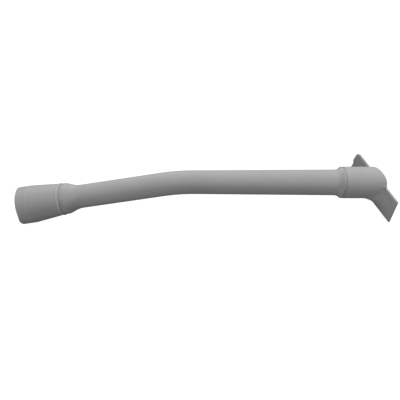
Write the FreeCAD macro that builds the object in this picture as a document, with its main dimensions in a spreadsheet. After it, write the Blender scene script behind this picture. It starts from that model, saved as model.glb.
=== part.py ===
import FreeCAD, Part
import math
import os

import Sketcher

# Oil dipstick guide tube, one plastic moulding.
# The body's working frame has its origin at the knee, where the centre lines of the two straight
# runs cross. The upper run goes along +X to the oblique plate, and the lower run goes back and
# down in the XZ plane to the socket. The placement at the end lays the part on a table, Z = 0,
# on the long lower edge of its plate and the rim of its socket.

doc = FreeCAD.newDocument("DipstickTube")

# Driving dimensions, in millimetres and degrees
driving = {
    # bend, and the runs' lengths from the knee
    "bendAngle": 20.0,
    "bendRadius": 45.0,
    "lowerLength": 82.7,
    "upperLength": 98.2,
    # tube
    "tubeDiameter": 11.7,
    "tubeBore": 8.6,
    "upperEndDiameter": 12.9,
    # upper sleeve
    "sleeveDiameter": 15.8,
    "sleeveLength": 16.4,
    "sleeveBore": 12.2,
    "sleeveFloor": 14.6,
    "floorTaper": 1.8,
    "shoulderRun": 0.9,
    "shoulderFillet": 1.0,
    "mouthRound": 1.2,
    # lower socket
    "rimDiameter": 19.7,
    "rimBand": 5.6,
    "bandStep": 0.15,
    "rimRound": 0.5,
    "socketLength": 22.0,
    "collarDiameter": 16.1,
    "collarWidth": 1.3,
    "collarStep": 0.45,
    "neckLength": 4.2,
    "neckFillet": 2.0,
    "socketBore": 13.0,
    "socketFloor": 20.0,
    "sealBore": 15.6,
    "sealDepth": 5.0,
    # oblique plate
    "plateThickness": 1.8,
    "plateTilt": 21.3,
    "plateTurn": 16.2,
    "nearWing": 17.9,
    "farWing": 18.7,
    "plateAbove": 3.8,
    "plateBelow": 11.5,
    "farSlant": 1.5,
    "notchTop": 6.2,
    "notchRoot": 8.1,
    "notchBottom": 11.9,
    "notchDepth": 0.9,
    "farCornerRound": 1.2,
    "rootFillet": 2.0,
}

sheet = doc.addObject("Spreadsheet::Sheet", "Sizes")
for row, (word, value) in enumerate(driving.items(), start=1):
    sheet.set("A%d" % row, word)
    sheet.set("B%d" % row, str(value))
    sheet.setAlias("B%d" % row, word)
doc.recompute()

body = doc.addObject("PartDesign::Body", "DipstickTubeBody")
body.Label = "dipstick_tube"

# Distances along a run from the knee
bendEnd = "Sizes.bendRadius * tan(Sizes.bendAngle / 2)"
shoulderEnd = "(Sizes.upperLength - Sizes.sleeveLength)"
sleeveEnd = "(Sizes.upperLength + Sizes.sleeveDiameter)"
socketStart = "(Sizes.lowerLength - Sizes.socketLength)"
collarBack = "(%s - Sizes.collarWidth)" % socketStart
neckStart = "(%s - Sizes.neckLength)" % collarBack
bandStart = "(Sizes.lowerLength - Sizes.rimBand)"

# Sketch planes, as placements from one of the body's origin planes
alongLower = "placement(vector(0; 0; 0); rotation(vector(0; 0; 1); 180 + Sizes.bendAngle))"
alongUpper = "placement(vector(0; 0; 0); rotation(vector(0; 0; 1); 0))"
acrossBend = "placement(vector(0; 0; %s); rotation(vector(0; 0; 1); 0))" % bendEnd
acrossShoulder = "placement(vector(0; 0; %s); rotation(vector(0; 0; 1); 0))" % shoulderEnd
plateBack = (
    "placement(vector(0; 0; Sizes.upperLength); rotation(vector(0; 0; 1); -Sizes.plateTurn)"
    " * rotation(vector(0; 1; 0); Sizes.plateTilt))"
)
plateFront = plateBack + " * placement(vector(0; 0; Sizes.plateThickness); rotation(0; 0; 0))"


def size(text):
    # value of a sheet word or of an expression made of them
    value = sheet.evalExpression(text if "Sizes." in text else "Sizes." + text)
    return float(getattr(value, "Value", value))


def newSketch(name, role, plane):
    support = next(feature for feature in body.Origin.OriginFeatures if feature.Role == role)
    sketch = body.newObject("Sketcher::SketchObject", name)
    sketch.AttachmentSupport = (support, [""])
    sketch.MapMode = "FlatFace"
    sketch.setExpression("AttachmentOffset", plane)
    return sketch


def bind(sketch, constraint, text):
    number = sketch.addConstraint(constraint)
    sketch.setExpression("Constraints[%d]" % number, text)


def outline(sketch, corners):
    # closed run of straight sides, each corner measured from the sketch's origin
    points = [
        FreeCAD.Vector(*[0 if text == "0" else size(text) for text in corner], 0) for corner in corners
    ]
    for index, point in enumerate(points):
        sketch.addGeometry(Part.LineSegment(point, points[(index + 1) % len(points)]), False)
    for index in range(len(points)):
        following = (index + 1) % len(points)
        sketch.addConstraint(Sketcher.Constraint("Coincident", index, 2, following, 1))
    for index, (along, out) in enumerate(corners):
        spot = points[index]
        for kind, axis, text, value in (("DistanceX", -2, along, spot.x), ("DistanceY", -1, out, spot.y)):
            if text == "0":
                sketch.addConstraint(Sketcher.Constraint("PointOnObject", index, 1, axis))
            else:
                bind(sketch, Sketcher.Constraint(kind, -1, 1, index, 1, value), text)
    doc.recompute()


def ringSection(name, diameter, plane):
    # circle round the centre line
    sketch = newSketch(name, "YZ_Plane", plane)
    centre = FreeCAD.Vector(0, 0, 0)
    sketch.addGeometry(Part.Circle(centre, FreeCAD.Vector(0, 0, 1), size(diameter) / 2), False)
    sketch.addConstraint(Sketcher.Constraint("Coincident", 0, 3, -1, 1))
    bind(sketch, Sketcher.Constraint("Diameter", 0, size(diameter)), "Sizes." + diameter)
    doc.recompute()
    return sketch


def bendSection(name, diameter):
    # circle where the bend ends, and the bend's own axis below it
    sketch = ringSection(name, diameter, acrossBend)
    across = size("tubeDiameter")
    down = -size("bendRadius")
    ends = [FreeCAD.Vector(side * across, down, 0) for side in (-1, 1)]
    sketch.addGeometry(Part.LineSegment(*ends), True)
    sketch.addConstraint(Sketcher.Constraint("Symmetric", 1, 1, 1, 2, -2))
    bind(sketch, Sketcher.Constraint("DistanceY", 1, 1, -1, 1, -down), "Sizes.bendRadius")
    bind(sketch, Sketcher.Constraint("DistanceX", 1, 1, 1, 2, 2 * across), "2 * Sizes.tubeDiameter")
    doc.recompute()
    return sketch


def turned(kind, name, sketch, axis="H_Axis", angle=None):
    feature = body.newObject("PartDesign::" + kind, name)
    feature.Profile = sketch
    feature.ReferenceAxis = (sketch, [axis])
    if angle is None:
        feature.Angle = 360.0
    else:
        feature.Reversed = True
        feature.setExpression("Angle", angle)
    doc.recompute()
    return feature


def edgeNames(feature, wanted):
    # names of a feature's edges that pass the test
    return ["Edge%d" % (i + 1) for i, edge in enumerate(feature.Shape.Edges) if wanted(edge)]


def rounded(name, base, names, radius):
    fillet = body.newObject("PartDesign::Fillet", name)
    fillet.Base = (base, names)
    fillet.setExpression("Radius", radius)
    doc.recompute()
    return fillet


# Lower run: tube, neck, collar, conical socket and the band round its rim
lowerOutside = newSketch("LowerOutside", "XZ_Plane", alongLower)
outline(lowerOutside, [
    (bendEnd, "0"),
    (bendEnd, "Sizes.tubeDiameter / 2"),
    (neckStart, "Sizes.tubeDiameter / 2"),
    (collarBack, "Sizes.collarDiameter / 2 - Sizes.collarStep"),
    (collarBack, "Sizes.collarDiameter / 2"),
    (socketStart, "Sizes.collarDiameter / 2"),
    (socketStart + " + Sizes.bandStep", "Sizes.collarDiameter / 2 - Sizes.bandStep"),
    (bandStart, "Sizes.rimDiameter / 2 - 2 * Sizes.bandStep"),
    (bandStart + " + Sizes.bandStep", "Sizes.rimDiameter / 2"),
    ("Sizes.lowerLength", "Sizes.rimDiameter / 2"),
    ("Sizes.lowerLength", "0"),
])
lowerRun = turned("Revolution", "LowerRun", lowerOutside)

# Upper run: tube that widens a little, shoulder and sleeve
upperOutside = newSketch("UpperOutside", "XZ_Plane", alongUpper)
outline(upperOutside, [
    (bendEnd, "0"),
    (bendEnd, "Sizes.tubeDiameter / 2"),
    (shoulderEnd + " - Sizes.shoulderRun", "Sizes.upperEndDiameter / 2"),
    (shoulderEnd, "Sizes.sleeveDiameter / 2"),
    (sleeveEnd, "Sizes.sleeveDiameter / 2"),
    (sleeveEnd, "0"),
])
upperRun = turned("Revolution", "UpperRun", upperOutside)

# Bend between the runs
bendOutside = bendSection("BendOutside", "tubeDiameter")
bend = turned("Revolution", "Bend", bendOutside, "Axis0", "Sizes.bendAngle")

# Oblique plate with a wing on each side of the sleeve, at first higher than the sleeve
plateOutline = newSketch("PlateOutline", "YZ_Plane", plateBack)
farNarrow = "Sizes.farWing - Sizes.farSlant"
outline(plateOutline, [
    ("-Sizes.nearWing", "-Sizes.plateBelow"),
    ("Sizes.farWing", "-Sizes.plateBelow"),
    ("Sizes.farWing", "Sizes.plateAbove - Sizes.notchBottom"),
    ("Sizes.farWing - Sizes.notchDepth", "Sizes.plateAbove - Sizes.notchRoot"),
    ("Sizes.farWing", "Sizes.plateAbove - Sizes.notchTop"),
    (farNarrow, "Sizes.plateAbove"),
    (farNarrow, "Sizes.sleeveDiameter"),
    ("-Sizes.nearWing", "Sizes.sleeveDiameter"),
])
plate = body.newObject("PartDesign::Pad", "Plate")
plate.Profile = plateOutline
plate.setExpression("Length", "Sizes.plateThickness")
doc.recompute()

# Directions in the working frame: out of the plate's front face, up its short side, down the runs
xAxis = FreeCAD.Vector(1, 0, 0)
zAxis = FreeCAD.Vector(0, 0, 1)
plateRotation = FreeCAD.Rotation(xAxis, -size("plateTurn")) * FreeCAD.Rotation(zAxis, size("plateTilt"))
plateNormal = plateRotation * xAxis
plateUp = plateRotation * zAxis
plateAlong = plateNormal.cross(plateUp)
plateCentre = xAxis * size("upperLength")
lowerAxis = FreeCAD.Rotation(FreeCAD.Vector(0, 1, 0), -size("bendAngle")) * -xAxis
near = 0.01


def spots(edge):
    return [edge.valueAt(edge.getParameterByLength(edge.Length * part)) for part in (0.1, 0.5, 0.9)]


def onSleeve(spot):
    return abs(math.hypot(spot.y, spot.z) - size("sleeveDiameter") / 2) < near and spot.x > 0


def onPlate(spot, depth):
    return abs((spot - plateCentre).dot(plateNormal) - depth) < near


def circleAt(edge, axis, distance, diameter):
    centre = axis * distance
    return all(
        abs((spot - centre).dot(axis)) < near and abs((spot - centre).Length - diameter / 2) < near
        for spot in spots(edge)
    )


# Soft root where the sleeve meets the plate's back face
backRoot = rounded("BackRoot", plate, edgeNames(
    plate, lambda edge: all(onSleeve(spot) and onPlate(spot, 0) for spot in spots(edge))
), "Sizes.rootFillet")

# The plate's upper part is cut away with the root behind it, and the sleeve is put back there
topTrim = newSketch("TopTrim", "YZ_Plane", plateFront)
outline(topTrim, [
    ("-2 * Sizes.nearWing", "Sizes.plateAbove"),
    ("2 * Sizes.farWing", "Sizes.plateAbove"),
    ("2 * Sizes.farWing", "2 * Sizes.sleeveDiameter"),
    ("-2 * Sizes.nearWing", "2 * Sizes.sleeveDiameter"),
])
topCut = body.newObject("PartDesign::Pocket", "TopCut")
topCut.Profile = topTrim
topCut.setExpression("Length", "Sizes.plateThickness + 2 * Sizes.rootFillet")
doc.recompute()
sleeveRing = ringSection("SleeveRing", "sleeveDiameter", acrossShoulder)
sleeve = body.newObject("PartDesign::Pad", "Sleeve")
sleeve.Profile = sleeveRing
sleeve.setExpression("Length", "Sizes.sleeveLength + Sizes.sleeveDiameter")
doc.recompute()

# The sleeve ends flush with the plate's front face
reach = "2 * Sizes.sleeveDiameter"
frontTrim = newSketch("FrontTrim", "YZ_Plane", plateFront)
outline(frontTrim, [
    ("-" + reach, "-" + reach),
    (reach, "-" + reach),
    (reach, reach),
    ("-" + reach, reach),
])
mouthTrim = body.newObject("PartDesign::Pocket", "MouthTrim")
mouthTrim.Profile = frontTrim
mouthTrim.Reversed = True
mouthTrim.setExpression("Length", reach)
doc.recompute()

# Rounded edge of the sleeve's end, where it stands out above the plate
sleeveMouth = rounded("SleeveMouth", mouthTrim, edgeNames(
    mouthTrim,
    lambda edge: all(onSleeve(spot) and onPlate(spot, size("plateThickness")) for spot in spots(edge)),
), "Sizes.mouthRound")

# Rounded upper corner of the far wing
farCorner = rounded("FarCorner", sleeveMouth, edgeNames(sleeveMouth, lambda edge: all(
    abs((spot - plateCentre).dot(plateUp) - size("plateAbove")) < near
    and abs((spot - plateCentre).dot(plateAlong) + size(farNarrow)) < near
    for spot in spots(edge)
)), "Sizes.farCornerRound")

# Small roots and rounds of the turned forms
shoulderAt = size(shoulderEnd + " - Sizes.shoulderRun")
shoulderRoot = rounded("ShoulderRoot", farCorner, edgeNames(
    farCorner, lambda edge: circleAt(edge, xAxis, shoulderAt, size("upperEndDiameter"))
), "Sizes.shoulderFillet")
neckRoot = rounded("NeckRoot", shoulderRoot, edgeNames(
    shoulderRoot, lambda edge: circleAt(edge, lowerAxis, size(neckStart), size("tubeDiameter"))
), "Sizes.neckFillet")
rimEdge = rounded("RimEdge", neckRoot, edgeNames(
    neckRoot, lambda edge: circleAt(edge, lowerAxis, size("lowerLength"), size("rimDiameter"))
), "Sizes.rimRound")

# Bore of the lower run: tube, floor of the socket, socket and seal seat
lowerInside = newSketch("LowerInside", "XZ_Plane", alongLower)
outline(lowerInside, [
    (bendEnd, "0"),
    (bendEnd, "Sizes.tubeBore / 2"),
    ("Sizes.lowerLength - Sizes.socketFloor", "Sizes.tubeBore / 2"),
    ("Sizes.lowerLength - Sizes.socketFloor", "Sizes.socketBore / 2"),
    ("Sizes.lowerLength - Sizes.sealDepth", "Sizes.socketBore / 2"),
    ("Sizes.lowerLength - Sizes.sealDepth", "Sizes.sealBore / 2"),
    ("Sizes.lowerLength", "Sizes.sealBore / 2"),
    ("Sizes.lowerLength", "0"),
])
lowerBore = turned("Groove", "LowerBore", lowerInside)

# Bore of the upper run and of the sleeve
upperInside = newSketch("UpperInside", "XZ_Plane", alongUpper)
sleeveFloorAt = "Sizes.upperLength - Sizes.sleeveFloor"
outline(upperInside, [
    (bendEnd, "0"),
    (bendEnd, "Sizes.tubeBore / 2"),
    (sleeveFloorAt + " - Sizes.floorTaper", "Sizes.tubeBore / 2"),
    (sleeveFloorAt, "Sizes.sleeveBore / 2"),
    (sleeveEnd, "Sizes.sleeveBore / 2"),
    (sleeveEnd, "0"),
])
upperBore = turned("Groove", "UpperBore", upperInside)

# Bore of the bend
bendInside = bendSection("BendInside", "tubeBore")
bendBore = turned("Groove", "BendBore", bendInside, "Axis0", "Sizes.bendAngle")

# Resting place: the table touches the plate's long lower edge and the rim of the socket
thickness = size("plateThickness")
rimRound = size("rimRound")
lowerEdge = plateCentre - plateUp * size("plateBelow")
rimCentre = lowerAxis * (size("lowerLength") - rimRound)


def tableNormal(lean):
    return plateUp * math.cos(lean) + plateNormal * math.sin(lean)


def rimHeight(lean):
    # how far the rim's lowest point is above a table that leans with the plate
    up = tableNormal(lean)
    underRim = (size("rimDiameter") / 2 - rimRound) * math.sqrt(1 - up.dot(lowerAxis) ** 2) + rimRound
    return (rimCentre - lowerEdge).dot(up) - underRim - min(0, thickness * math.sin(lean))


low, high = math.radians(-40), math.radians(40)
for step in range(60):
    middle = (low + high) / 2
    if rimHeight(low) * rimHeight(middle) <= 0:
        high = middle
    else:
        low = middle
tableUp = tableNormal(low)

# +X runs level from the socket's mouth to the sleeve's mouth
chord = plateCentre - lowerAxis * size("lowerLength")
chord = chord - tableUp * chord.dot(tableUp)
resting = FreeCAD.Rotation(chord, tableUp.cross(chord), tableUp, "XZY").inverted()
laid = body.Shape.copy()
laid.Placement = FreeCAD.Placement(FreeCAD.Vector(0, 0, 0), resting)
box = laid.optimalBoundingBox(False)
body.Placement = FreeCAD.Placement(
    FreeCAD.Vector(-(box.XMin + box.XMax) / 2, -(box.YMin + box.YMax) / 2, -box.ZMin), resting
)
doc.recompute()

# Nothing is written unless every object and the finished solid are sound
failed = [item.Name for item in doc.Objects if "Invalid" in item.State or "Error" in item.State]
if failed or body.Shape.isNull() or not body.Shape.isValid() or len(body.Shape.Solids) != 1:
    raise RuntimeError("the tube is not one sound solid: %s" % failed)
os.makedirs("parts", exist_ok=True)
body.Shape.exportStep("parts/dipstick_tube.step")

# Places and directions that the record's mounts use, in metres
for name, point, axis in (
    ("socket mouth", lowerAxis * size("lowerLength"), lowerAxis),
    ("seal seat floor", lowerAxis * (size("lowerLength") - size("sealDepth")), lowerAxis),
    ("socket floor", lowerAxis * (size("lowerLength") - size("socketFloor")), lowerAxis),
    ("lower bend end", lowerAxis * size(bendEnd), lowerAxis),
    ("upper bend end", xAxis * size(bendEnd), xAxis),
    ("sleeve floor", xAxis * size(sleeveFloorAt), xAxis),
    ("sleeve mouth", plateCentre + xAxis * thickness, xAxis),
    ("plate front", plateCentre + plateNormal * thickness, plateNormal),
    ("plate up", plateCentre, plateUp),
    ("plate along", plateCentre, plateAlong),
    ("knee", FreeCAD.Vector(0, 0, 0), FreeCAD.Vector(0, 0, 1)),
):
    place = body.Placement.multVec(point) / 1000
    direction = resting.multVec(axis)
    print("%-16s %9.6f %9.6f %9.6f   %9.6f %9.6f %9.6f" % (name, *place, *direction))
print(body.Shape.BoundBox, body.Shape.Volume, body.Shape.isValid(), math.degrees(low))
print("placement", body.Placement.Base, body.Placement.Rotation.Q)
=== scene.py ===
import math

import bmesh
import bpy
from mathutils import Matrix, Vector


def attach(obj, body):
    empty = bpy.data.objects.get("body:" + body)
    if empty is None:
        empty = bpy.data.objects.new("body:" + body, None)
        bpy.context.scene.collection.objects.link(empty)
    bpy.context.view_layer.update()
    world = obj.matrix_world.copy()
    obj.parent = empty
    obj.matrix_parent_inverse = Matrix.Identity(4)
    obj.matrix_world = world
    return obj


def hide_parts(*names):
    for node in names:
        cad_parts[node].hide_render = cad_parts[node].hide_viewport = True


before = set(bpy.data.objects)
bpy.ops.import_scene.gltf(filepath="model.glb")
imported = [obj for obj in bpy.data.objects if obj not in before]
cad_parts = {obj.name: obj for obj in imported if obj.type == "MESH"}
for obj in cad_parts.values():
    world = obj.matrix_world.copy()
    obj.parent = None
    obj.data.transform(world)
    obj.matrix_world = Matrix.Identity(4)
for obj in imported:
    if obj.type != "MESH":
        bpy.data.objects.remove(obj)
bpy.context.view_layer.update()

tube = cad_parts["dipstick_tube"]
print("frame loaded: one moulding,", len(tube.data.polygons), "faces")

millimetre = 0.001

# Sizes of the moulding, in millimetres, on the part's own axes
mould = {
    "knee": (-11.769, -3.756, 25.714),              # where the axes of the two runs cross
    "lowerAxis": (-0.979873, 0.041853, -0.195184),
    "upperAxis": (0.989048, 0.035247, -0.143322),
    "bendUp": (0.147570, -0.219209, 0.964453),      # square to the upper axis, in the bend's plane
    "bendAngle": 20.0,
    "bendRadius": 45.0,
    "bendSteps": 24,
    "plateAt": 98.2,            # back of the solid's plate, from the knee along the upper run
    "ringPoints": 144,
    "arcSteps": 5,              # steps of each rounded corner of a profile
}

# Satin grey plastic of the moulding. Lengths are in metres.
plasticLook = {
    "colour": (0.400, 0.400, 0.402),
    "toneSpread": 0.05,         # share by which the tone drifts over the moulding
    "driftSize": 0.020,         # size of the soft patches of tone
    "speckSize": 0.0006,        # size of the fine specks in the plastic
    "speckSpread": 0.02,
    "roughness": 0.48,
    "roughnessSpread": 0.06,
    "grainSize": 0.00035,       # spark-eroded grain of the mould
    "grainDepth": 0.000006,
    "flowSize": 0.006,          # slow ripples of the moulded skin
    "flowDepth": 0.000012,
    "specular": 0.35,
    "paintedHighlightRings": [              # painted highlights on the lower run's beads: distance from the knee, half-width, share they are painted paler by
        (0.07705, 0.00050, 0.28),
        (0.06085, 0.00050, 0.26),
    ],
    "shoulder": (0.0812, 0.0013),       # its polished ring: distance from the knee, half-width
    "shoulderRoughness": 0.20,
    "shoulderSpecular": 0.9,
}

# Camera of the photograph, in the part's own frame
cameraLook = {
    "place": (0.01162, -0.21705, 0.30429),
    "turn": (35.816, 3.629, -1.396),
    "lens": 64.8,
    "sensor": 36.0,
}

# Light and surroundings
studioLook = {
    "aim": (0.0, 0.0, 0.015),
    "lamps": {
        "keyLamp": {            # a scrimmed lamp: it lights the plastic without a highlight
            "from": (0.52, 0.43, 0.738),
            "distance": 1.2,
            "width": 0.55,
            "power": 10.7,
            "highlight": False,
        },
        "sideLamp": {
            "from": (-0.95, -0.10, 0.20),
            "distance": 1.0,
            "width": 0.6,
            "power": 2.75,
            "highlight": True,
        },
        "frontLamp": {
            "from": (0.45, -0.90, 0.02),
            "distance": 0.45,
            "width": 0.3,
            "power": 0.27,
            "highlight": True,
        },
        "backLamp": {           # low behind, for the glint on the shoulder
            "from": (-0.17, 0.95, 0.32),
            "distance": 1.0,
            "width": 0.26,
            "power": 1.35,
            "highlight": True,
        },
    },
    "skyLevel": 0.37,
    "floorWidth": 4.0,
    "floorColour": (0.14, 0.14, 0.14),
    "floorShown": 0.97,         # light that the camera sees on the floor besides the lamps'
}


def newNode(tree, kind, x, y, **values):
    node = tree.nodes.new(kind)
    node.location = (x, y)
    for name, value in values.items():
        setattr(node, name, value)
    return node


def noiseAt(tree, coordinates, size, detail, y):
    # noise whose patches are about one size across
    noise = newNode(tree, "ShaderNodeTexNoise", -900, y)
    noise.inputs["Scale"].default_value = 1.0 / size
    noise.inputs["Detail"].default_value = detail
    noise.inputs["Roughness"].default_value = 0.55
    tree.links.new(coordinates, noise.inputs["Vector"])
    return noise.outputs["Fac"]


def rangeOf(tree, value, low, high, x, y):
    spread = newNode(tree, "ShaderNodeMapRange", x, y)
    spread.inputs["From Min"].default_value = 0.25
    spread.inputs["From Max"].default_value = 0.75
    spread.inputs["To Min"].default_value = low
    spread.inputs["To Max"].default_value = high
    tree.links.new(value, spread.inputs["Value"])
    return spread.outputs["Result"]


def makeRingMask():
    # 1 on a ring round an axis at one distance from the knee, fading over its half-width
    group = bpy.data.node_groups.new("ringMask", "ShaderNodeTree")
    given = {
        "Position": "NodeSocketVector",
        "Knee": "NodeSocketVector",
        "Axis": "NodeSocketVector",
        "Place": "NodeSocketFloat",
        "Half width": "NodeSocketFloat",
    }
    for name, kind in given.items():
        group.interface.new_socket(name=name, in_out="INPUT", socket_type=kind)
    group.interface.new_socket(name="Mask", in_out="OUTPUT", socket_type="NodeSocketFloat")
    source = newNode(group, "NodeGroupInput", -900, 0)
    fromKnee = newNode(group, "ShaderNodeVectorMath", -700, 100, operation="SUBTRACT")
    group.links.new(source.outputs["Position"], fromKnee.inputs[0])
    group.links.new(source.outputs["Knee"], fromKnee.inputs[1])
    along = newNode(group, "ShaderNodeVectorMath", -500, 100, operation="DOT_PRODUCT")
    group.links.new(fromKnee.outputs[0], along.inputs[0])
    group.links.new(source.outputs["Axis"], along.inputs[1])
    off = newNode(group, "ShaderNodeMath", -300, 100, operation="SUBTRACT")
    group.links.new(along.outputs["Value"], off.inputs[0])
    group.links.new(source.outputs["Place"], off.inputs[1])
    gap = newNode(group, "ShaderNodeMath", -100, 100, operation="ABSOLUTE")
    group.links.new(off.outputs[0], gap.inputs[0])
    fade = newNode(group, "ShaderNodeMapRange", 100, 100, interpolation_type="SMOOTHSTEP")
    group.links.new(gap.outputs[0], fade.inputs["Value"])
    group.links.new(source.outputs["Half width"], fade.inputs["From Max"])
    fade.inputs["From Min"].default_value = 0.0
    fade.inputs["To Min"].default_value = 1.0
    fade.inputs["To Max"].default_value = 0.0
    shown = newNode(group, "NodeGroupOutput", 300, 100)
    group.links.new(fade.outputs["Result"], shown.inputs["Mask"])
    return group


def ringAt(tree, group, position, axis, place, halfWidth, y):
    node = newNode(tree, "ShaderNodeGroup", -900, y)
    node.node_tree = group
    node.inputs["Knee"].default_value = [value * millimetre for value in mould["knee"]]
    node.inputs["Axis"].default_value = mould[axis]
    node.inputs["Place"].default_value = place
    node.inputs["Half width"].default_value = halfWidth
    tree.links.new(position, node.inputs["Position"])
    return node.outputs["Mask"]


def makeSatinPlastic(look):
    material = bpy.data.materials.new("satinGreyPlastic")
    material.use_nodes = True
    tree = material.node_tree
    shader = tree.nodes["Principled BSDF"]
    shader.location = (300, 0)
    position = newNode(tree, "ShaderNodeTexCoord", -1200, 0).outputs["Object"]

    # tone: soft drift of the pigment, with fine specks in it, and painted highlights on the lower run's
    # beads
    drift = noiseAt(tree, position, look["driftSize"], 3.0, 400)
    speck = noiseAt(tree, position, look["speckSize"], 2.0, 150)
    driftTone = rangeOf(tree, drift, 1 - look["toneSpread"], 1 + look["toneSpread"], -650, 400)
    speckTone = rangeOf(tree, speck, 1 - look["speckSpread"], 1 + look["speckSpread"], -650, 150)
    tone = newNode(tree, "ShaderNodeMath", -400, 300, operation="MULTIPLY")
    tree.links.new(driftTone, tone.inputs[0])
    tree.links.new(speckTone, tone.inputs[1])
    ringMask = makeRingMask()
    shade = tone.outputs[0]
    # painted highlights: the base colour of the lower run's beads is painted paler to stand in for their
    # glint
    for order, (place, halfWidth, highlightLift) in enumerate(look["paintedHighlightRings"]):
        mask = ringAt(tree, ringMask, position, "lowerAxis", place, halfWidth, 700 + 250 * order)
        lift = newNode(tree, "ShaderNodeMath", -650, 700 + 250 * order, operation="MULTIPLY_ADD")
        lift.inputs[1].default_value = highlightLift
        lift.inputs[2].default_value = 1.0
        tree.links.new(mask, lift.inputs[0])
        lifted = newNode(tree, "ShaderNodeMath", -400, 600 + 200 * order, operation="MULTIPLY")
        tree.links.new(shade, lifted.inputs[0])
        tree.links.new(lift.outputs[0], lifted.inputs[1])
        shade = lifted.outputs[0]
    colour = newNode(tree, "ShaderNodeVectorMath", -150, 250, operation="SCALE")
    colour.inputs[0].default_value = look["colour"]
    tree.links.new(shade, colour.inputs["Scale"])
    tree.links.new(colour.outputs[0], shader.inputs["Base Color"])

    # roughness follows the same drift
    low = look["roughness"] - look["roughnessSpread"]
    high = look["roughness"] + look["roughnessSpread"]
    place, halfWidth = look["shoulder"]
    polished = ringAt(tree, ringMask, position, "upperAxis", place, halfWidth, -750)
    gloss = newNode(tree, "ShaderNodeMix", 50, 0, data_type="FLOAT")
    tree.links.new(polished, gloss.inputs["Factor"])
    tree.links.new(rangeOf(tree, drift, low, high, -150, 0), gloss.inputs["A"])
    gloss.inputs["B"].default_value = look["shoulderRoughness"]
    tree.links.new(gloss.outputs["Result"], shader.inputs["Roughness"])
    shine = newNode(tree, "ShaderNodeMix", 50, -200, data_type="FLOAT")
    tree.links.new(polished, shine.inputs["Factor"])
    shine.inputs["A"].default_value = look["specular"]
    shine.inputs["B"].default_value = look["shoulderSpecular"]
    tree.links.new(shine.outputs["Result"], shader.inputs["Specular IOR Level"])

    # skin: the mould's fine grain over slow ripples
    grain = noiseAt(tree, position, look["grainSize"], 4.0, -250)
    flow = noiseAt(tree, position, look["flowSize"], 1.0, -500)
    grainBump = newNode(tree, "ShaderNodeBump", -400, -250)
    grainBump.inputs["Strength"].default_value = 1.0
    grainBump.inputs["Distance"].default_value = look["grainDepth"]
    tree.links.new(grain, grainBump.inputs["Height"])
    flowBump = newNode(tree, "ShaderNodeBump", -150, -350)
    flowBump.inputs["Strength"].default_value = 1.0
    flowBump.inputs["Distance"].default_value = look["flowDepth"]
    tree.links.new(flow, flowBump.inputs["Height"])
    tree.links.new(grainBump.outputs["Normal"], flowBump.inputs["Normal"])
    tree.links.new(flowBump.outputs["Normal"], shader.inputs["Normal"])

    return material


satinPlastic = makeSatinPlastic(plasticLook)
print("satin grey plastic mixed")

# Socket's mouth, in millimetres: its high side is a little flat, and its high and low ends stand out.
# Places along it are measured from the knee.
socketMouth = {
    "high": (0.057, 0.810, 0.584),      # direction across the socket to its high side
    "flatDepth": 0.55,
    "flatStarts": 70.5,
    "flatFull": 74.5,
    "flatLevel": 0.35,          # height over the axis where the flat begins, as a share of the radius
    "flatFade": 0.6,
    "leastRadius": 9.0,         # the flat is on the outside only
    "standStarts": 79.5,
    "standLength": 3.0,
    "standHigh": 0.6,
    "standLow": 1.1,
    "standLevel": 0.5,          # share of the radius beyond which an end stands out
}

# Outside of the tube from the socket's mouth to the sleeve: distance from the knee, radius, rounding
outsideProfile = [
    (-82.40, 9.20, 0.0),
    (-82.40, 9.79, 0.22),
    (-77.60, 9.77, 0.20),       # band round the mouth
    (-77.25, 9.77, 0.15),
    (-76.75, 9.81, 0.30),       # step up to the socket
    (-63.20, 8.20, 0.10),       # socket's cone
    (-62.90, 8.06, 0.12),       # faint groove
    (-62.40, 8.06, 0.12),
    (-61.40, 7.96, 0.12),
    (-60.95, 8.14, 0.16),       # collar's bead
    (-60.30, 8.14, 0.16),
    (-59.95, 7.72, 0.16),       # groove behind it
    (-59.55, 7.72, 0.16),
    (-59.15, 7.80, 0.20),
    (-57.60, 7.80, 0.40),       # collar's foot
    (-54.20, 6.55, 1.30),       # neck
    (-51.50, 5.85, 1.30),
    (-9.00, 5.82, 0.0),
    (9.00, 5.82, 0.0),          # from here the upper run widens a little
    (79.20, 6.45, 1.00),
    (81.25, 7.84, 1.00),        # shoulder
    (81.80, 7.88, 0.20),
    (82.15, 7.52, 0.16),        # crease between the shoulder and the sleeve
    (82.45, 7.52, 0.16),
    (82.80, 7.90, 0.20),
    (84.00, 7.90, 0.0),
]

# Inside from the socket's mouth to the sleeve
insideProfile = [
    (-82.40, 9.20, 0.0),
    (-82.40, 7.80, 0.25),
    (-77.70, 7.80, 0.10),       # seat of the ring seal
    (-77.70, 6.50, 0.15),
    (-62.70, 6.50, 0.10),       # socket
    (-62.70, 4.30, 0.20),
    (81.80, 4.30, 0.30),        # passage of the dipstick
    (83.60, 6.10, 0.30),
    (84.00, 6.10, 0.0),
]

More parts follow.
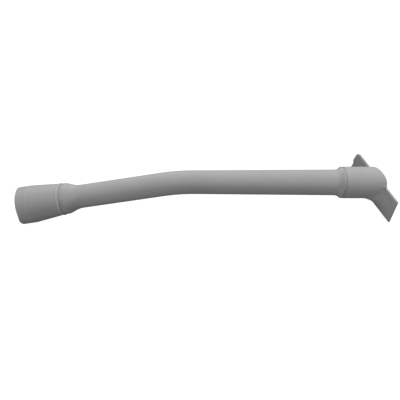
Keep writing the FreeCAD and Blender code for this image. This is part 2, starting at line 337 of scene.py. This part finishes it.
# Oblique plate: its outline is measured from the sleeve's axis, along the long side and up the short one
plate = {
    "normal": (0.905634, 0.395176, -0.153830),
    "along": (0.399936, -0.916543, 0.0),
    "up": (0.140992, 0.061522, 0.988097),
    "front": 1.8,
    "thickness": 1.0,
    "nearWing": 17.9,
    "farWing": 18.7,
    "farSlant": 1.5,
    "above": 3.8,
    "below": 11.5,
    "notches": [(-11.9, 0.0), (-8.1, 0.9), (-6.2, 0.0)],    # up from the top corner, and depth
    "edge": 0.22,               # rounding of its edges
    "farCorner": 1.5,
    "farCornerLean": 0.36,      # share of that corner by which it leans out
    "rootTop": 2.0,             # soft root between the sleeve and the plate, at the wing's top
    "rootLow": 8.0,             # and under the sleeve
    "rootFullness": 1.64,       # 1 is a straight chamfer, 2 a hollow curve
    "rootGrowsFrom": 2.0,       # height over the axis under which the root grows
    "rootGrowth": 6.0,          # height over which it does
    "farRoot": 3.5,             # most of the root on the far side, at the axis
    "farRootGrowth": 0.5,       # and what each millimetre below adds
    "rootGap": 0.15,            # the root ends this far above the plate's lower edge
    "rootSteps": 8,
    "mouthRound": 0.5,
    "nearTaper": 2.6,           # length of the taper on the near side of the mouth
    "nearDrop": 0.45,           # and how far it comes in
    "nearFrom": 3.4,            # height at which that taper begins
    "nearFade": 2.0,
    "mouthStand": 0.9,          # the sleeve's mouth stands this far out where no wing is
    "standFade": 3.5,
    "lipLeast": 0.02,           # keeps the rings of the lip apart where it isn't rounded
    "lipDrop": 0.8,             # how far a rounded lip comes in, as a share of its length
    "lipFullness": 1.4,
    "lipSteps": 8,
    "boreRound": 0.3,
}

knee = Vector(mould["knee"])
upperAxis = Vector(mould["upperAxis"]).normalized()
bendUp = Vector(mould["bendUp"]).normalized()
sideways = bendUp.cross(upperAxis)
plateNormal = Vector(plate["normal"]).normalized()
plateAlong = Vector(plate["along"]).normalized()
plateUp = Vector(plate["up"]).normalized()
plateCentre = knee + upperAxis * mould["plateAt"]
sleeveRadius = outsideProfile[-1][1]
sleeveBore = insideProfile[-1][1]
bendTurn = math.radians(mould["bendAngle"])
bendReach = mould["bendRadius"] * math.tan(bendTurn / 2)    # from the knee to either end of the bend


def smoothly(share):
    share = max(0.0, min(1.0, share))
    return share * share * (3 - 2 * share)


def centreLine(distance):
    # place, direction and upward normal of the centre line at a distance from the knee
    turned = max(0.0, min(1.0, (distance + bendReach) / (2 * bendReach)))
    left = bendTurn * (1 - turned)      # angle still to turn
    upward = bendUp * math.cos(left) - upperAxis * math.sin(left)
    forward = upperAxis * math.cos(left) + bendUp * math.sin(left)
    if distance >= bendReach:
        place = knee + upperAxis * distance
    elif distance <= -bendReach:
        place = knee + forward * distance
    else:
        place = knee + upperAxis * bendReach + (upward - bendUp) * mould["bendRadius"]
    return place, forward, upward


def softProfile(corners):
    # the profile's corners, rounded by short arcs, with a point close by on either side
    points = [corners[0][:2]]
    for before, corner, after in zip(corners, corners[1:], corners[2:]):
        if corner[2] == 0:
            points.append(corner[:2])
            continue
        spot = Vector(corner[:2])
        back = Vector(before[:2]) - spot
        ahead = Vector(after[:2]) - spot
        reach = min(corner[2], back.length * 0.45, ahead.length * 0.45)
        start = spot + back.normalized() * reach
        end = spot + ahead.normalized() * reach
        hold = min(reach * 0.5, 0.1)
        points.append(tuple(start + back.normalized() * hold))
        for step in range(mould["arcSteps"] + 1):
            share = step / mould["arcSteps"]
            arc = start * (1 - share) ** 2 + spot * 2 * share * (1 - share) + end * share ** 2
            points.append(tuple(arc))
        points.append(tuple(end + ahead.normalized() * hold))
    return points + [corners[-1][:2]]


def withBend(points):
    # stations every degree or so where the profile crosses the bend
    full = []
    for (here, radius), (there, nextRadius) in zip(points, points[1:]):
        full.append((here, radius))
        if here < -bendReach and there > bendReach:
            for step in range(mould["bendSteps"] + 1):
                place = -bendReach + 2 * bendReach * step / mould["bendSteps"]
                full.append((place, radius + (nextRadius - radius) * (place - here) / (there - here)))
    return full + [points[-1]]


def ringDirection(upward, turn):
    return upward * math.cos(turn) + sideways * math.sin(turn)


def turns():
    return [2 * math.pi * step / mould["ringPoints"] for step in range(mould["ringPoints"])]


def ringOf(mesh, distance, radius):
    place, forward, upward = centreLine(distance)
    high = Vector(socketMouth["high"])
    flatLength = socketMouth["flatFull"] - socketMouth["flatStarts"]
    flatShare = smoothly((-distance - socketMouth["flatStarts"]) / flatLength)
    standShare = smoothly((-distance - socketMouth["standStarts"]) / socketMouth["standLength"])
    standLevel = socketMouth["standLevel"]
    ring = []
    for turn in turns():
        outward = ringDirection(upward, turn)
        level = outward.dot(high)
        flat = 0.0
        if radius > socketMouth["leastRadius"]:
            rise = smoothly((level - socketMouth["flatLevel"]) / socketMouth["flatFade"])
            flat = socketMouth["flatDepth"] * flatShare * rise
        stand = socketMouth["standHigh"] if level > 0 else socketMouth["standLow"]
        stand *= standShare * smoothly((abs(level) - standLevel) / (1 - standLevel))
        spot = place + outward * (radius - flat) - forward * stand
        ring.append(mesh.verts.new(spot * millimetre))
    return ring


def bridge(mesh, first, second):
    count = len(first)
    for step in range(count):
        following = (step + 1) % count
        mesh.faces.new((first[step], first[following], second[following], second[step]))


def heightOnPlate(spot):
    return (spot - plateCentre).dot(plateUp)


def plateReach(turn, radius, depth):
    # distance along the upper run at which a line of the sleeve meets the plate, at a depth in it
    outward = ringDirection(bendUp, turn) * radius
    return mould["plateAt"] + (depth - outward.dot(plateNormal)) / upperAxis.dot(plateNormal)


def standOut(turn):
    # 1 where the sleeve stands free above the wings, 0 where the plate is round it
    height = heightOnPlate(plateCentre + ringDirection(bendUp, turn) * sleeveRadius)
    return smoothly((height - plate["above"]) / plate["standFade"])


def nearMouth(turn):
    # 1 at the near wing's top, fading to 0 at the sleeve's top and in the plate
    spot = ringDirection(bendUp, turn) * sleeveRadius
    height = heightOnPlate(plateCentre + spot)
    if spot.dot(plateAlong) < 0:
        return 0.0
    fromTop = smoothly((sleeveRadius - height) / (sleeveRadius - plate["above"]))
    return fromTop * smoothly((height - plate["nearFrom"]) / plate["nearFade"])


def sleeveEnd(mesh, outerRing, innerRing):
    # from the shoulder to the slanting mouth, round its lip and back down the bore
    start = outsideProfile[-1][0]
    previous = outerRing

    def placed(turn, distance, radius):
        spot = knee + upperAxis * distance + ringDirection(bendUp, turn) * radius
        return mesh.verts.new(spot * millimetre)

    def mouthAt(turn, radius):
        return plateReach(turn, radius, plate["front"]) + plate["mouthStand"] * standOut(turn)

    def lip(turn):
        # length and drop of the rounded lip at this turn
        near = nearMouth(turn)
        soft = plate["mouthRound"] * standOut(turn)
        length = soft + plate["lipLeast"] + (plate["nearTaper"] - soft) * near
        return length, soft * plate["lipDrop"] + plate["lipLeast"] + plate["nearDrop"] * near

    for share in (0.25, 0.5, 0.75, 0.97, 1.0):
        ring = []
        for turn in turns():
            end = mouthAt(turn, sleeveRadius) - lip(turn)[0]
            ring.append(placed(turn, start + (end - start) * share, sleeveRadius))
        bridge(mesh, previous, ring)
        previous = ring
    for step in range(1, plate["lipSteps"] + 1):
        share = step / plate["lipSteps"]
        ring = []
        for turn in turns():
            length, drop = lip(turn)
            end = mouthAt(turn, sleeveRadius) - length * (1 - share)
            ring.append(placed(turn, end, sleeveRadius - drop * share ** plate["lipFullness"]))
        bridge(mesh, previous, ring)
        previous = ring
    ring = [placed(turn, mouthAt(turn, sleeveBore), sleeveBore + plate["boreRound"]) for turn in turns()]
    bridge(mesh, previous, ring)
    previous = ring
    for back, share in ((plate["boreRound"], 1.0), (0.5, 1.0), (0.0, 0.5)):
        ring = []
        for turn in turns():
            end = mouthAt(turn, sleeveBore) - back
            ring.append(placed(turn, start + (end - start) * share, sleeveBore))
        bridge(mesh, previous, ring)
        previous = ring
    bridge(mesh, previous, innerRing)


def latheBody(mesh):
    outside = [ringOf(mesh, *station) for station in withBend(softProfile(outsideProfile))]
    inside = [ringOf(mesh, *station) for station in withBend(softProfile(insideProfile))[1:]]
    for first, second in zip(outside, outside[1:]):
        bridge(mesh, first, second)
    for first, second in zip(inside, inside[1:]):
        bridge(mesh, second, first)
    bridge(mesh, inside[0], outside[0])
    sleeveEnd(mesh, outside[-1], inside[-1])


def plateSpot(along, up, depth):
    return plateCentre + plateAlong * along + plateUp * up + plateNormal * depth


def plateCorners():
    # outline of the wings and of the strip under the sleeve, with the sleeve's place left open
    top = plate["above"]
    corners = [
        (plate["nearWing"], top),
        (plate["nearWing"], -plate["below"]),
        (-plate["farWing"], -plate["below"]),
    ]
    for height, depth in plate["notches"]:
        corners.append((-plate["farWing"] + depth, top + height))
    apex = -plate["farWing"] + plate["farSlant"]
    soft = plate["farCorner"]
    for step in range(mould["arcSteps"] + 1):
        share = step / mould["arcSteps"]
        corners.append((
            apex - plate["farCornerLean"] * soft * (1 - share) ** 2 + soft * share ** 2,
            top - soft * (1 - share) ** 2,
        ))
    wall = []
    for turn in turns():
        outward = ringDirection(bendUp, turn) * (sleeveRadius - 0.4)
        spot = plateCentre + outward - upperAxis * outward.dot(plateNormal) / upperAxis.dot(plateNormal)
        if heightOnPlate(spot) < top:
            wall.append(((spot - plateCentre).dot(plateAlong), heightOnPlate(spot)))
    # from the far side, under the sleeve, to the near side
    wall.sort(key=lambda spot: math.atan2(spot[0], -spot[1]))
    return corners + [(wall[0][0], top)] + wall + [(wall[-1][0], top)]


def addPlate(mesh):
    corners = plateCorners()
    depth = plate["front"] - plate["thickness"]
    back = [mesh.verts.new(plateSpot(along, up, depth) * millimetre) for along, up in corners]
    front = [mesh.verts.new(plateSpot(along, up, plate["front"]) * millimetre) for along, up in corners]
    mesh.faces.new(back)
    mesh.faces.new(front[::-1])
    for step in range(len(corners)):
        following = (step + 1) % len(corners)
        mesh.faces.new((back[following], back[step], front[step], front[following]))


def addRoot(mesh):
    # soft root between the sleeve and the back of the plate
    rows = []
    depth = plate["front"] - plate["thickness"]
    for turn in turns():
        outward = ringDirection(bendUp, turn)
        corner = knee + upperAxis * plateReach(turn, sleeveRadius, depth) + outward * sleeveRadius
        height = heightOnPlate(corner)
        if height > plate["above"]:
            rows.append(None)
            continue
        flat = (outward - upperAxis * outward.dot(plateNormal) / upperAxis.dot(plateNormal)).normalized()
        lower = smoothly((plate["rootGrowsFrom"] - height) / plate["rootGrowth"])
        room = plate["rootTop"] + (plate["rootLow"] - plate["rootTop"]) * lower
        if (corner - plateCentre).dot(plateAlong) < 0:
            room = min(room, plate["farRoot"] + max(0.0, -height) * plate["farRootGrowth"])
        reach = room
        if flat.dot(plateUp) < -0.01:
            reach = min(room, (plate["below"] - plate["rootGap"] + height) / -flat.dot(plateUp))
        row = []
        for step in range(plate["rootSteps"] + 1):
            share = step / plate["rootSteps"]
            spot = corner - upperAxis * room * (1 - share) ** plate["rootFullness"]
            spot += flat * reach * share ** plate["rootFullness"]
            over = heightOnPlate(spot) - plate["above"]
            row.append(mesh.verts.new((spot - plateUp * max(0.0, over)) * millimetre))
        rows.append(row)
    for first, second in zip(rows, rows[1:] + rows[:1]):
        if first and second:
            for step in range(plate["rootSteps"]):
                mesh.faces.new((first[step], first[step + 1], second[step + 1], second[step]))


def makePiece(name, mesh):
    bmesh.ops.recalc_face_normals(mesh, faces=mesh.faces)
    data = bpy.data.meshes.new(name)
    mesh.to_mesh(data)
    mesh.free()
    data.shade_smooth()
    data.materials.append(satinPlastic)
    piece = bpy.data.objects.new(name, data)
    bpy.context.scene.collection.objects.link(piece)
    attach(piece, "root")
    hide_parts("dipstick_tube")
    print(name, "made,", len(data.polygons), "faces")
    return piece


def makeTube():
    mesh = bmesh.new()
    latheBody(mesh)
    addRoot(mesh)
    makePiece("mouldedTube", mesh)


def makePlate():
    mesh = bmesh.new()
    addPlate(mesh)
    bmesh.ops.bevel(mesh, geom=mesh.edges[:], offset=plate["edge"] * millimetre, segments=3, profile=0.5,
                    affect="EDGES", clamp_overlap=True)
    bmesh.ops.triangulate(mesh, faces=[face for face in mesh.faces if len(face.verts) > 4])
    piece = makePiece("slantedPlate", mesh)
    piece.data.set_sharp_from_angle(angle=math.radians(40))


makeTube()
makePlate()
print("moulding built over its solid")


def makeFloor(look):
    half = look["floorWidth"] / 2
    mesh = bpy.data.meshes.new("floor")
    corners = [(-half, -half, 0), (half, -half, 0), (half, half, 0), (-half, half, 0)]
    mesh.from_pydata(corners, [], [(0, 1, 2, 3)])
    floor = bpy.data.objects.new("floor", mesh)
    bpy.context.scene.collection.objects.link(floor)

    material = bpy.data.materials.new("paleFloor")
    material.use_nodes = True
    tree = material.node_tree
    shader = tree.nodes["Principled BSDF"]
    shader.inputs["Base Color"].default_value = (*look["floorColour"], 1)
    shader.inputs["Roughness"].default_value = 0.9
    shader.inputs["Specular IOR Level"].default_value = 0.0
    glow = newNode(tree, "ShaderNodeEmission", 0, -300)
    glow.inputs["Strength"].default_value = look["floorShown"]
    seen = newNode(tree, "ShaderNodeLightPath", -300, -300)
    both = newNode(tree, "ShaderNodeAddShader", 300, -200)
    shown = newNode(tree, "ShaderNodeMixShader", 500, 0)
    output = tree.nodes["Material Output"]
    tree.links.new(shader.outputs[0], both.inputs[0])
    tree.links.new(glow.outputs[0], both.inputs[1])
    tree.links.new(seen.outputs["Is Camera Ray"], shown.inputs[0])
    tree.links.new(shader.outputs[0], shown.inputs[1])
    tree.links.new(both.outputs[0], shown.inputs[2])
    tree.links.new(shown.outputs[0], output.inputs["Surface"])
    mesh.materials.append(material)


def makeLamp(name, look, aim):
    lamp = bpy.data.lights.new(name, "AREA")
    lamp.shape = "DISK"
    lamp.size = look["width"]
    lamp.energy = look["power"]
    holder = bpy.data.objects.new(name, lamp)
    bpy.context.scene.collection.objects.link(holder)
    direction = Vector(look["from"]).normalized()
    holder.location = Vector(aim) + direction * look["distance"]
    holder.rotation_euler = direction.to_track_quat("Z", "Y").to_euler()
    holder.visible_glossy = look["highlight"]


def makeSky(level):
    world = bpy.data.worlds.new("studio")
    bpy.context.scene.world = world
    world.use_nodes = True
    tree = world.node_tree
    sky = tree.nodes["Background"]
    sky.inputs["Color"].default_value = (1, 1, 1, 1)
    sky.inputs["Strength"].default_value = level
    white = newNode(tree, "ShaderNodeBackground", 0, -200)
    white.inputs["Strength"].default_value = 1.0
    white.inputs["Color"].default_value = (1, 1, 1, 1)
    seen = newNode(tree, "ShaderNodeLightPath", -200, 200)
    shown = newNode(tree, "ShaderNodeMixShader", 250, 0)
    tree.links.new(seen.outputs["Is Camera Ray"], shown.inputs[0])
    tree.links.new(sky.outputs[0], shown.inputs[1])
    tree.links.new(white.outputs[0], shown.inputs[2])
    tree.links.new(shown.outputs[0], tree.nodes["World Output"].inputs["Surface"])


makeFloor(studioLook)
for lampName, lampLook in studioLook["lamps"].items():
    makeLamp(lampName, lampLook, studioLook["aim"])
makeSky(studioLook["skyLevel"])
bpy.context.scene.view_settings.view_transform = "Standard"
print("floor, lamps and sky placed")


def makeCamera(look):
    camera = bpy.data.cameras.new("photoCamera")
    camera.lens = look["lens"]
    camera.sensor_width = look["sensor"]
    camera.clip_start = 0.01
    holder = bpy.data.objects.new("photoCamera", camera)
    bpy.context.scene.collection.objects.link(holder)
    holder.location = look["place"]
    holder.rotation_euler = [math.radians(angle) for angle in look["turn"]]
    bpy.context.scene.camera = holder


makeCamera(cameraLook)
print("camera set")
